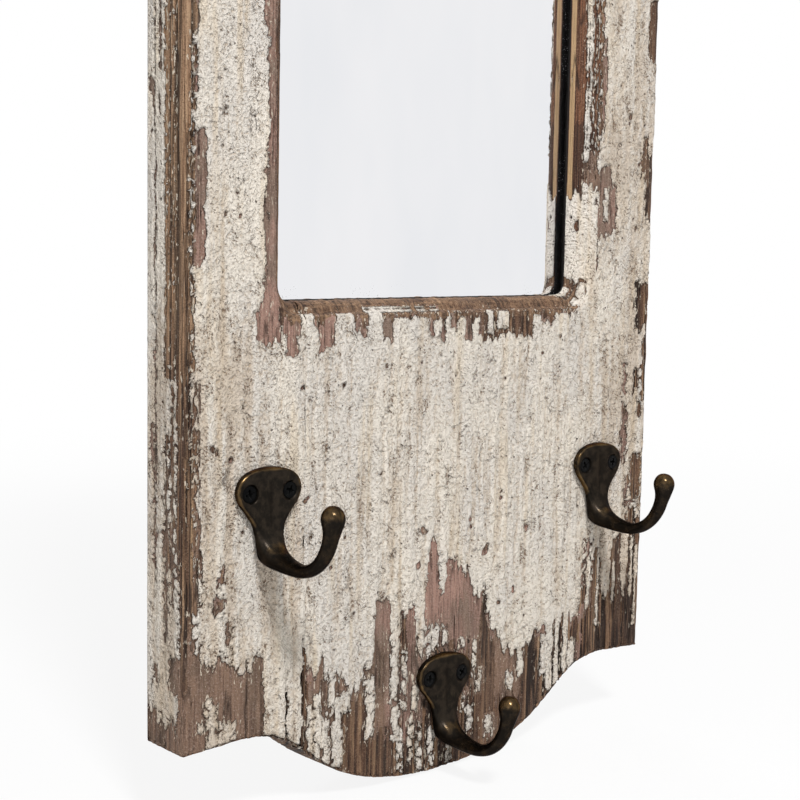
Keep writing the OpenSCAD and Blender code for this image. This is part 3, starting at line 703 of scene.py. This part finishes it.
painted, place = new_finish("painted_board")
KEPT = ("cream", "primer", "ridge", "crack", "fresh", "tint", "soft", "hollow")
cream_at, primer_at, ridge, crack, fresh, tint, soft, hollow = (
    attribute(place.tree, name) for name in KEPT
)
grain = placed(wood_grain, Place=place)
fibre = grain["Fibre"]
strand = noise(place, (640, 640, 13), 3.0, 0.6)
# Grain tone, lighter on the ridges: partly the wood's own, partly painted highlight on ridge tops
tone = ridge * 0.37 + fibre * 0.75 + (grain["Band"] - 0.5) * 0.5
tone = calc("ADD", tone, (strand - 0.5) * 1.1, clamp=True)
wood = ((0.12, (42, 27, 20)), (0.34, (86, 60, 45)), (0.54, (118, 90, 69)), (0.85, (158, 128, 98)))
wood = ramp(tone, *wood)
silvered = span(noise(place, (46, 46, 16)), 0.42, 0.62)
tan = ramp(fibre, (0.3, (108, 80, 58)), (0.5, (160, 127, 98)), (0.7, (192, 162, 131)))
umber = ramp(fibre, (0.35, (58, 32, 20)), (0.6, (120, 76, 50)))
dust = noise(place, 1700.0, 4.0, 0.7)
# Narrow grooves between the hard lines of the grain, deepest where the wood is soft; their dark
# is painted shade
cleft = span(calc("ABSOLUTE", noise(place, (270, 270, 6), 2.0) - 0.5), 0.034, 0.01)
cleft = cleft * calc("MULTIPLY_ADD", soft, 0.6, 0.4)
wood = coated(
    wood,
    (silvered * 0.14, (134, 118, 104)),
    (span(fresh, 0.0, 0.9) * 0.85, tan),
    (span(fresh, 0.0, -0.9) * 0.85, umber),
    (grain["Pore"] * 0.5, (46, 31, 24)),
    # darker in the worn grooves: painted shade
    (span(ridge, -0.1, -0.8) * span(fresh, 0.1, 0.7, 0.85, 0.35), (38, 26, 20)),
    (span(dust, 0.5, 0.68) * 0.32, (166, 140, 114)),
    (span(dust, 0.48, 0.34) * 0.5, (48, 34, 26)),
    # dark in the narrow grooves: painted shade
    (cleft * span(fresh, 0.15, 0.7, 0.9, 0.4), (32, 21, 16)),
    (span(fresh, 0.95, 1.5) * 0.8, (184, 153, 114)),
    # near black: painted shade deep in the opening and on the lip's underside
    (span(fresh, -1.05, -1.9), (14, 9, 7)),
)
thin_coat = placed(torn_edge, Place=place, Cover=primer_at - ridge * 0.5, Ragged=1.3)
blush = span(noise(place, (85, 85, 40)), 0.4, 0.6)
salmon = span(noise(place, (210, 210, 120)), 0.56, 0.66)
primer = coated(
    over(blush, (132, 112, 98), (152, 121, 108)),
    (calc("MAXIMUM", salmon * 0.5, span(tint, -0.1, -0.8)), (170, 134, 120)),
    (span(tint, 0.1, 0.9) * 0.85, over(blush, (106, 87, 71), (130, 105, 86))),
    (span(fibre, 0.54, 0.34) * 0.8, (84, 62, 52)),
    (span(dust, 0.52, 0.66) * 0.5, (182, 162, 150)),
    (span(dust, 0.46, 0.34) * 0.55, (80, 60, 50)),
)
# Crumbs of the cream coat left in the grain, thicker near its edges
crumbs = noise(place, (1150, 1150, 330), 3.0, 0.6) + cream_at * 0.035 - ridge * 0.06
top_coat = placed(torn_edge, Place=place, Cover=cream_at, Ragged=0.3, Shade=0.5)
sand = placed(grit, Place=place, Low=hollow, Size=960.0)
stain = span(noise(place, (230, 230, 14)), 0.54, 0.72)
patch = span(noise(place, (60, 60, 22), 4.0), 0.35, 0.65)
cream = coated(
    over(patch, (219, 212, 203), (229, 220, 207)),
    (stain * 0.35, (204, 178, 138)),
    (span(hollow, 0.08, 0.5) * 0.5, (184, 161, 134)),
    # darker where the grit is low: painted shade in its hollows
    (span(sand["Lumps"], 0.17, 0.08) * 0.64, (166, 142, 114)),
    (sand["Pits"] * 0.82, (116, 90, 68)),
    (sand["Holes"] * 0.85, (78, 58, 44)),
    (sand["Hairs"] * 0.7, (84, 66, 54)),
)
colour = coated(
    wood,
    (thin_coat["Film"] * 0.92, primer),
    # dark in cracks and at the bottoms of worn grooves: painted shade
    (crack * 0.85, (38, 26, 20)),
    (span(crumbs, 0.56, 0.6) * 0.85, (206, 194, 176)),
    # the dark line under the cream's edge: painted shade and dirt
    (top_coat["Line"] * 0.72, (48, 33, 26)),
    (top_coat["Film"], cream),
)
gritty = sand["Lumps"] - sand["Pits"] * 0.1 - sand["Holes"] * 0.25 - sand["Hairs"] * 0.16 + 0.3
bare = (fibre + dust) * 0.2 + (thin_coat["Rise"] - cleft) * 0.05
share = top_coat["Rise"]
relief = put(place.tree, "Mix", {"data_type": "FLOAT"}, Factor=share, A=bare, B=gritty)[0]
bump = bumped(relief, 1.0, 0.004, Filter_Width=1.0)
matt = top_coat["Film"] * 0.16 + 0.72
shaded(place, Base_Color=colour, Roughness=matt, Normal=bump, Specular_IOR_Level=0.3)

for plank in PLANKS:
    body = remeshed(plank, GRID * MM)
    lay_flat(body)
    weather(body)
    mount("old_" + plank, body, painted, plank)

# ------------------------------
# Beech dowels that lock the rails to the outer planks: fluted rod, cut to length and glued in.
# They lie inside the board and never show.
beech, place = new_finish("dowel_wood")
turned_y = {"rotation_type": "Y_AXIS"}
along_x = put(place.tree, "VectorRotate", turned_y, Vector=place, Angle=math.pi / 2)[0]
grain = placed(wood_grain, Place=along_x, Fibres=1500.0)
colour = ramp(grain["Fibre"], (0.3, (178, 138, 96)), (0.6, (208, 172, 128)))
colour = over(grain["Pore"] * 0.5, colour, (128, 88, 56))
shaded(place, Base_Color=colour, Roughness=0.65, Normal=bumped(grain["Fibre"], 0.5, 0.0002))


def dress(node, finish):
    """Gives a solid that keeps its own shape its finish."""
    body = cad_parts[node].data
    body.materials.clear()
    body.materials.append(finish)


for node in ("upper_dowels", "lower_dowels"):
    dress(node, beech)

# ------------------------------
# The mirror: 3 mm glass, silvered, lying in the board's rebate on dark tape. Its silver has small
# dark specks along the edges of the opening.
SILL_Z = 0.1535
mirror, place = new_finish("mirror")
axes = put(place.tree, "SeparateXYZ", Vector=place)
low_edge = span(axes["Z"] - SILL_Z, 0.0055, 0.0005)
side_edge = span(calc("ABSOLUTE", axes["X"]), 0.0708, 0.0742)
rubbed = calc("MAXIMUM", low_edge, side_edge * 0.7)
specks = span(noise(place, (1500, 1500, 2600)), 0.66, 0.7)
specks = specks * rubbed * span(noise(place, (60, 60, 60), 2.0), 0.5, 0.6)
smear = noise(place, (22, 22, 9), 3.0, 0.6)
silver = ramp(smear, (0.35, (233, 234, 237)), (0.65, (238, 238, 240)))
silver = over(specks, silver, (58, 50, 46))
shiny = calc("SUBTRACT", 1.0, specks)
shaded(place, Base_Color=silver, Roughness=specks * 0.6 + 0.012, Metallic=shiny)
dress("mirror_glass", mirror)

# ------------------------------
# Glazing tape: four strips of near-black foam tape between lip and glass. It makes part of the
# dark line round the mirror; painted shade on the board deep in the opening makes the rest.
foam, place = new_finish("tape")
cell = put(place.tree, "TexVoronoi", Vector=place, Scale=2400.0)["Distance"]
colour = ramp(cell, (0.1, (14, 11, 10)), (0.7, (32, 26, 23)))
shaded(place, Base_Color=colour, Roughness=0.95, Normal=bumped(cell, 0.6, 0.0002))
dress("glazing_tape", foam)

# ------------------------------
# Backing board: 3 mm hardboard let into the back rebate, brown, with fibres pressed flat and
# scuffs from handling.
pressed, place = new_finish("hardboard")
mottle = noise(place, 900.0, 5.0, 0.7)
cloud = noise(place, 28.0)
chaff = span(noise(place, (700, 700, 1500), 1.0, 0.5, 1.4), 0.68, 0.74)
scuff = span(noise(place, (26, 26, 340), 2.0), 0.66, 0.72)
colour = coated(
    ramp(mottle, (0.3, (92, 62, 40)), (0.5, (124, 88, 58)), (0.72, (158, 120, 84))),
    (span(cloud, 0.4, 0.65, 0.0, 0.35), (96, 68, 46)),
    (chaff * 0.5, (188, 156, 116)),
    (scuff * 0.35, (176, 148, 116)),
)
matt = span(cloud, 0.3, 0.7, 0.5, 0.68)
shaded(place, Base_Color=colour, Roughness=matt, Normal=bumped(mottle, 0.4, 0.00012))
dress("backing_board", pressed)

# ------------------------------
# Ten zinc-plated pan-head screws that hold the backing board. They go through holes along its
# edge into the bottom of the rebate.
#
# Scratches and cloudy patches of plated or cast metal that has been handled
handled, takes = group("handled_metal", Place=None)
place = takes["Place"]
gives(
    handled,
    Cloud=noise(place, 260.0, 4.0, 0.6),
    Fine=noise(place, 2400.0, 3.0, 0.6),
    Scratch=span(noise(place, (3200, 900, 500), 2.0, 0.5, 0.8), 0.62, 0.7),
)


def metal(name, dark, bright, share, matt):
    """A plated metal: two tones in clouds, fine grain, light scratches."""
    made, place = new_finish(name)
    hand = placed(handled, Place=place)
    colour = over(span(hand["Cloud"], 0.5 - share, 0.5 + share), dark, bright)
    colour = over(hand["Scratch"] * 0.4, colour, bright)
    matt = span(hand["Cloud"] + hand["Fine"] * 0.4, 0.5, 0.9, *matt)
    bump = bumped(hand["Fine"], 0.5, 0.00004)
    shaded(place, Base_Color=colour, Roughness=matt, Metallic=0.9, Normal=bump)
    return made


zinc = metal("zinc_screw", (118, 120, 122), (176, 178, 180), 0.14, (0.3, 0.52))
dress("backing_screws", zinc)

# ------------------------------
# Three cast coat hooks in one pattern: a plate with two countersunk holes runs down into a round
# prong that swings out and up to a ball. Antique bronze lacquer, rubbed to brass where it is
# touched; the brass on the shin of the prong and the top of the ball is also painted highlight.
# Sections go down the hook: wall side out and height, open side out and height, half width,
# squareness, in mm from the painted face and from the line of the screws.
HOOK_SECTIONS = (
    (0, 8.7, 1.9, 8.5, 0.8, 3), (0, 8.3, 2.9, 8, 5.2, 3.6), (0, 6.9, 3.4, 6.7, 9.6, 4.2),
    (0, 4.2, 3.6, 4.1, 12.6, 4.6), (0, 0.4, 3.6, 0.4, 13.6, 4.6), (0, -3.4, 3.6, -3.4, 12.3, 4.4),
    (0, -7.2, 3.7, -7.1, 9.3, 3.8), (0, -10.8, 3.9, -10.6, 6.9, 3.2),
    (0, -14.6, 4.6, -13.9, 5.8, 2.8), (0, -18.8, 6, -16.6, 5.4, 2.6),
    (0, -23.2, 8.4, -18.7, 5.1, 2.4), (3.1, -25.4, 11.4, -20.3, 4.7, 2.2),
    (9, -26.3, 14.8, -21.4, 4.1, 2.1), (15.2, -26.8, 18.8, -22, 3.6, 2),
    (21.8, -26.6, 22.6, -21.9, 3.2, 2), (28, -24.7, 26.6, -20.4, 2.9, 2),
    (33.2, -21, 29.9, -17.7, 2.7, 2), (36.9, -16.2, 32.3, -14, 2.7, 2),
    (38.9, -11.5, 33.6, -10.6, 2.8, 2), (40.4, -8, 33.9, -7.6, 3.3, 2),
    (41.5, -4.7, 33.3, -4.2, 4.1, 2), (41.2, -2.2, 33.9, -1.8, 3.7, 2),
    (39.8, -0.4, 35.4, -0.1, 2.3, 2), (38.2, 0.3, 37, 0.4, 0.6, 2),
)
HOOKS = {"left_hook": (-84.4, 88.3), "centre_hook": (0.0, 8.4), "right_hook": (84.6, 83.6)}
BETWEEN, ROUND = ((6, 80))
SCREW_GAP, HEAD_SET, PLATE_T = 8.5, 0.35, 3.6
SINK_R, BORE_R, SINK = 3.45, 2.05, math.tan(math.radians(41))


def smooth_run(rows, between):
    """Rows of numbers with smooth steps between them."""
    rows = np.array(rows, float)
    ends = np.vstack((rows[:1], rows, rows[-1:]))
    made = []
    for a, b, c, d in zip(ends, ends[1:], ends[2:], ends[3:]):
        for s in np.arange(between) / between:
            square, cube = (2 * a - 5 * b + 4 * c - d) * s**2, (3 * b - a - 3 * c + d) * s**3
            made.append((2 * b + (c - a) * s + square + cube) / 2)
    return np.array(made + [rows[-1]])


def ring_of(square, count):
    """An evenly stepped outline between a circle (2) and a rounded square (4 and more)."""
    turn = np.linspace(0, 2 * math.pi, 1441)
    sides = (f(turn) for f in (np.cos, np.sin))
    q = np.stack([np.sign(side) * abs(side) ** (2 / square) for side in sides], 1)
    way = np.concatenate(([0], np.cumsum(hypot(*np.diff(q, axis=0).T))))
    at = np.linspace(0, way[-1], count, endpoint=False)
    return np.stack([np.interp(at, way, q[:, k]) for k in (0, 1)], 1)


def skin_over(rings):
    """A closed skin over a run of rings with equal counts, with flat ends."""
    count, n = len(rings), len(rings[0])
    k = np.arange(n)
    faces = []
    for i in range(count - 1):
        a, b = i * n + k, i * n + (k + 1) % n
        faces += list(np.stack((a, a + n, b + n, b), 1))
    faces += [list(k), list((count - 1) * n + k[::-1])]
    body = bpy.data.meshes.new("part")
    points = [tuple(p) for p in np.vstack(rings)]
    body.from_pydata(points, [], [tuple(int(i) for i in f) for f in faces])
    build = bmesh.new()
    build.from_mesh(body)
    bmesh.ops.recalc_face_normals(build, faces=build.faces)
    build.to_mesh(body)
    build.free()
    return body


def turned(profile, count=48):
    """A solid turned about Y from a profile of radius and depth."""
    turn = np.arange(count) * 2 * math.pi / count
    x, z, flat = np.cos(turn), np.sin(turn), np.ones(count)
    return skin_over([np.stack((r * x, flat * y, r * z), 1) for r, y in profile])


def cut_from(body, *cutters):
    """The body with every cutter taken out of it."""
    things = [linked("part", mesh) for mesh in (body, *cutters)]
    for cutter in things[1:]:
        cut = things[0].modifiers.new("cut", "BOOLEAN")
        cut.operation, cut.solver, cut.object = "DIFFERENCE", "EXACT", cutter
    return settled(*things)


def cast_hook():
    rings = []
    for wall, wall_z, face, face_z, half, square in smooth_run(HOOK_SECTIONS, BETWEEN):
        a, s = ring_of(max(square, 2), ROUND).T
        x = half * a
        out = (max(wall, 0) + face) / 2 + (face - max(wall, 0)) / 2 * s
        z = (wall_z + face_z) / 2 + (face_z - wall_z) / 2 * s
        # The plate is dished a little inside a raised rim, with a faint seam down its middle
        plate = step((face_z + 17) / 5) * step((s - 0.7) / 0.3)
        inner = step((half - abs(x) - 1.0) / 1.3) * step((7.6 - face_z) / 1.6)
        seam = 0.1 * plate * exp(-((x / 0.22) ** 2))
        out = out - 0.28 * plate * inner - seam * step((5.5 - face_z) / 3)
        rings.append(np.stack((x, -out, z), 1))
    sunk = PLATE_T - HEAD_SET
    cone = ((BORE_R, 1), (BORE_R, -(sunk - (SINK_R - BORE_R) / SINK)), (SINK_R, -sunk))
    cutters = []
    for side in (-1, 1):
        cutter = turned((*cone, (SINK_R, -PLATE_T - 1)))
        cutter.transform(Matrix.Translation((side * SCREW_GAP, 0, 0)))
        cutters.append(cutter)
    return cut_from(skin_over(rings), *cutters)


bronze, place = new_finish("dark_bronze")
hand = placed(handled, Place=place)
cloud, fine = hand["Cloud"], hand["Fine"]
rub = calc("ADD", attribute(place.tree, "rub"), (cloud - 0.5) * 0.9, clamp=True)
colour = coated(
    over(span(cloud, 0.4, 0.62), (30, 27, 24), (47, 41, 35)),
    # brass where rubbed, and painted highlight on the shin and the ball's top
    (span(rub, 0.3, 1.0) * 0.8, (126, 99, 61)),
    (hand["Scratch"] * 0.1, (120, 108, 84)),
    # the seam down the plate, and the prong darkened as painted shade
    (attribute(place.tree, "line") * 0.6, (18, 15, 13)),
)
matt = span(rub + fine * 0.3, 0.1, 1.0, 0.36, 0.2)
bump = bumped(cloud, 0.35, 0.0003, Normal=bumped(fine, 0.45, 0.00006))
warm = dict(Metallic=0.85, Specular_Tint=rgb(165, 148, 128))
shaded(place, Base_Color=colour, Roughness=matt, Normal=bump, **warm)

casting = cast_hook()
x, y, z = read(casting.vertices, "co").T.astype(float)
out = -y
plate = np.array(HOOK_SECTIONS[:11])[::-1]
edge = np.interp(z, plate[:, 3], plate[:, 4]) - abs(x)
rim = exp(-(((edge - 0.3) / 0.9) ** 2)) * (out > 1.2) * step((z + 16) / 6)
rim = maximum(rim, step((z - 6.6) / 1.4) * (out > 1) * (z < 9) * (out < 6)) * 0.62
# Brass on the top of the ball and along the shin of the prong: rubbed wear and painted highlight
ball = step((out - 32) / 3) * step((z + 9) / 7)
shin = step((out - 4) / 4) * step((30 - out) / 10) * step((z + 23.5) / 5) * step((-10 - z) / 6)
rub = maximum(maximum(rim, ball * 0.54), 0.5 * shin)
rub = maximum(rub, 0.34 * step((out - 6) / 6))
line = exp(-(((x - 0.1) / 0.28) ** 2)) * step((out - 2.4) / 0.4)
line = line * step((z + 15) / 5) * step((5.5 - z) / 3)
# The prong is darkened outside the shin and ball: painted shade against the painted highlights
line = maximum(line, 0.8 * step((out - 5) / 5) * (1 - shin) * (1 - ball))
keep(casting, rub=rub, line=line)
casting.transform(Matrix.Scale(MM, 4))
casting.shade_smooth()
for node, (x, z) in HOOKS.items():
    body = casting.copy()
    body.transform(Matrix.Translation((x * MM, -BOARD_T * MM, z * MM)))
    mount("cast_" + node, body, bronze, node)

# ------------------------------
# Two black countersunk screws to each hook, with cross-shaped driver holes that taper inwards.
# Steel with a black finish, driven through the plate into the board.
HEAD_R, HEAD_TOP, SHANK_R = 2.96, 0.22, 1.75
TURNS = (-14, 23, 8, 40, -30, 15)


def cross_cut(reach, half, depth):
    """A tapering cross, cut down from the head at y = 0."""
    rings = []
    for share, y in ((1.08, 0.12), (1.0, 0.0), (0.45, -depth)):
        r, h = reach * share, half * (0.55 + 0.45 * share)
        arm = ((r, h), (h, h), (h, r))
        back = [(-a, b) for a, b in arm[::-1]]
        outline = [*arm, *back, *((-a, -b) for a, b in arm), *((-a, -b) for a, b in back)]
        rings.append(np.array([(a, -y, b) for a, b in outline]))
    return skin_over(rings)


top = ((0.01, -0.1), (1.4, -0.08), (2.4, -0.02), (2.88, 0.04), (2.98, 0.14), (HEAD_R, HEAD_TOP))
neck = (SHANK_R, HEAD_TOP + (HEAD_R - SHANK_R) / SINK)
head = turned((*top, neck, (SHANK_R, 14.7), (1.1, 17.3), (0.02, 18.3)), 64)
head = cut_from(head, cross_cut(1.75, 0.42, 1.5))
head.transform(Matrix.Scale(MM, 4))
head.shade_smooth()
black = metal("black_screw", (4, 4, 5), (13, 13, 13), 0.12, (0.34, 0.55))
deep = -(BOARD_T + PLATE_T - HEAD_SET - 0.42)
for k, (node, (x, z)) in enumerate(HOOKS.items()):
    build = bmesh.new()
    for i, side in enumerate((-1, 1)):
        screw = head.copy()
        turn = Matrix.Rotation(math.radians(TURNS[2 * k + i]), 4, "Y")
        at = ((x + side * SCREW_GAP) * MM, deep * MM, z * MM)
        screw.transform(Matrix.Translation(at) @ turn)
        build.from_mesh(screw)
    pair = bpy.data.meshes.new("pair")
    build.to_mesh(pair)
    build.free()
    pair.shade_smooth()
    mount("sunk_" + node + "_screws", pair, black, node + "_screws")

# ------------------------------
# Two hangers on the back: a brass-plated strap rolled round a D-shaped ring, held by one screw.
# The ring swings in the strap's eye.
brass = metal("brass_plate", (136, 108, 60), (196, 168, 108), 0.16, (0.24, 0.46))


def eased(node, width):
    """A copy of a stamped or bent solid with its sharp edges eased."""
    copy = linked("copy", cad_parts[node].data.copy())
    copy.modifiers.new("weld", "WELD").merge_threshold = 1e-6
    ease = copy.modifiers.new("ease", "BEVEL")
    ease.width, ease.segments = width, 2
    ease.limit_method, ease.angle_limit = "ANGLE", math.radians(50)
    body = settled(copy)
    body.shade_smooth()
    body.set_sharp_from_angle(angle=math.radians(40))
    return body


for side in ("left", "right"):
    strap = side + "_hanger_strap"
    mount("eased_" + strap, eased(strap, 0.00018), brass, strap)
    dress(side + "_hanger_ring", brass)
    dress(side + "_hanger_screw", brass)

# ------------------------------
# Two felt bumpers stuck low on the back, which keep the board off the wall. Discs punched from
# pressed wool felt, with a fuzzy face.
felt, place = new_finish("felt")
fuzz = noise(place, 1900.0, 4.0, 0.7, 1.5)
colour = ramp(fuzz, (0.3, (76, 70, 64)), (0.5, (112, 104, 95)), (0.7, (146, 138, 127)))
bump = bumped(fuzz, 0.8, 0.0004)
shaded(place, Base_Color=colour, Roughness=0.95, Normal=bump, Sheen_Weight=0.4)
body = remeshed("wall_bumpers", 0.00045)
p, way = read(body.vertices, "co") / MM, read(body.vertices, "normal")
fray = 0.1 * layered(p[:, 0] * 1.7 + p[:, 1], p[:, 2] * 1.7, 90, 2) - 0.1
write(body, p + way * fray[:, None])
mount("felt_wall_bumpers", body, felt, "wall_bumpers")

# ------------------------------
# Studio: a white sweep, one large soft lamp above left of the front, a weak fill, and the
# camera at the photograph's viewing angle.
CAMERA_AT = (-0.38946, -0.44153, 0.17750)
YAW, PITCH, TILT = math.radians(41.190), math.radians(6.283), math.radians(1.063)
SENSOR, FOCAL = 36, 68.254
AIM, FLOOR_Z, HALF = Vector((0, 0, 0.28)), -0.0302, 4.0
ahead = (math.sin(YAW) * math.cos(PITCH), math.cos(YAW) * math.cos(PITCH), -math.sin(PITCH))
ahead = Vector(ahead)
across = Vector((math.cos(YAW), -math.sin(YAW), 0))
upward = across.cross(ahead)
right = across * math.cos(TILT) + upward * math.sin(TILT)
up = upward * math.cos(TILT) - across * math.sin(TILT)
lens = bpy.data.cameras.new("camera")
lens.sensor_width, lens.lens, lens.clip_start = SENSOR, FOCAL, 0.01
camera = linked("camera", lens)
camera.matrix_world = Matrix((right, up, -ahead)).transposed().to_4x4()
camera.location = CAMERA_AT
bpy.context.scene.camera = camera


def lamp(name, at, size, power):
    data = bpy.data.lights.new(name, "AREA")
    data.shape, data.size, data.energy = "DISK", size, power
    thing = linked(name, data)
    thing.location = at
    thing.rotation_euler = (AIM - Vector(at)).to_track_quat("-Z", "Y").to_euler()


lamp("key_lamp", (-0.62, -1.4, 1.95), 0.4, 46.5)
lamp("fill_lamp", (-1.5, -1.2, 0.5), 1.0, 4)
lamp("back_lamp", (0.9, 1.8, 1.4), 1.0, 14)


def seen_straight(tree):
    """1 for rays of the camera, and for those that come by way of shiny or clear pieces."""
    ray = put(tree, "LightPath")
    seen = calc("MAXIMUM", ray["Is Camera Ray"], ray["Is Glossy Ray"])
    return calc("MAXIMUM", seen, ray["Is Transmission Ray"])


world = bpy.data.worlds.new("white_room")
bpy.context.scene.world = world
world.use_nodes = True
w = world.node_tree
w.nodes.clear()
level = put(w, "MapRange", Value=seen_straight(w), To_Min=0.24, To_Max=1.0)[0]
sky = put(w, "Background", Color=(1, 1, 1, 1), Strength=level)[0]
feed(put(w, "OutputWorld").node.inputs[0], sky)

floor_body = bpy.data.meshes.new("pale_floor")
corners = [(-HALF, -HALF, 0), (HALF, -HALF, 0), (HALF, HALF, 0), (-HALF, HALF, 0)]
floor_body.from_pydata(corners, [], [(0, 1, 2, 3)])
pale, place = new_finish("pale_floor")
f = place.tree
matte = put(f, "BsdfDiffuse", Color=(0.9, 0.9, 0.9, 1))[0]
white = put(f, "Emission", Color=(1, 1, 1, 1), Strength=1.0)[0]
away = put(f, "VectorMath", {"operation": "LENGTH"}, Vector=place)["Value"]
mixed = put(f, "MixShader")
mixed = feed_all(mixed, seen_straight(f) * span(away, 0.3, 1.1, 0.88, 1.0), matte, white)
feed(put(f, "OutputMaterial").node.inputs[0], mixed)
floor_body.materials.append(pale)
floor = linked("pale_floor", floor_body)
floor.location = (0, 0, FLOOR_Z)

bpy.context.scene.view_settings.view_transform = "Standard"
